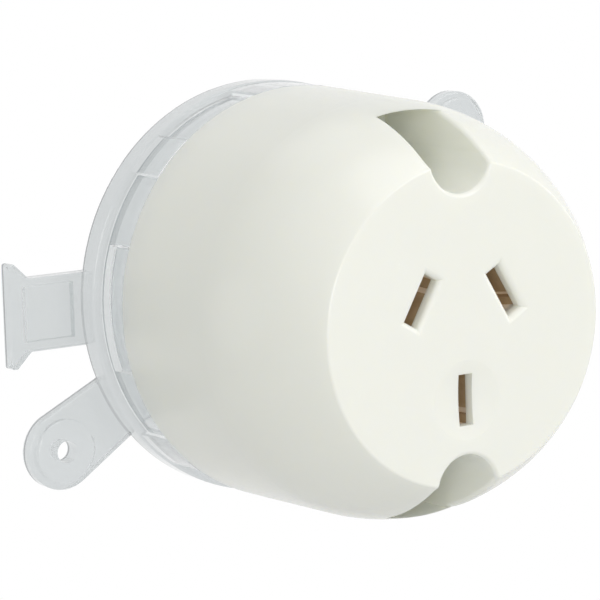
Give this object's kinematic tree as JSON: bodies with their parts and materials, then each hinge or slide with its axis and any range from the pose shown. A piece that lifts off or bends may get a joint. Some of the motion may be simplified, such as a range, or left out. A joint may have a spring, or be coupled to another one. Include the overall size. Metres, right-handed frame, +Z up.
{
  "type": "surface mounted socket outlet",
  "caption": "Round surface socket outlet: a white domed cover with flat-pin slots and screw wells on a clear base with fixing lugs and a cable tie tab.",
  "frame": {"origin": "centre of the base's back face, on the wall", "axes": "+Z up the wall, +Y into the wall, the socket face looks along -Y, +X to the right as seen from the front"},
  "size_m": [0.0833, 0.052, 0.0604],
  "materials": {
    "clear_plastic": "clear, polished",
    "white_plastic": "warm white, satin gloss",
    "insulating_plate": "grey, matt",
    "plated_steel": "zinc plated",
    "contact_brass": "sprung bronze strip, slightly dulled",
    "terminal_brass": "drawn brass"
  },
  "bodies": {
    "root": {"base": "clear_plastic", "cover": "white_plastic", "contact_retainer": "insulating_plate", "cover_screws": "plated_steel", "terminal_screws": "plated_steel", "retainer_screws": "plated_steel", "active_contact": "contact_brass", "neutral_contact": "contact_brass", "earth_contact": "contact_brass", "active_terminal": "terminal_brass", "neutral_terminal": "terminal_brass", "earth_terminal": "terminal_brass"}
  },
  "joints": []
}
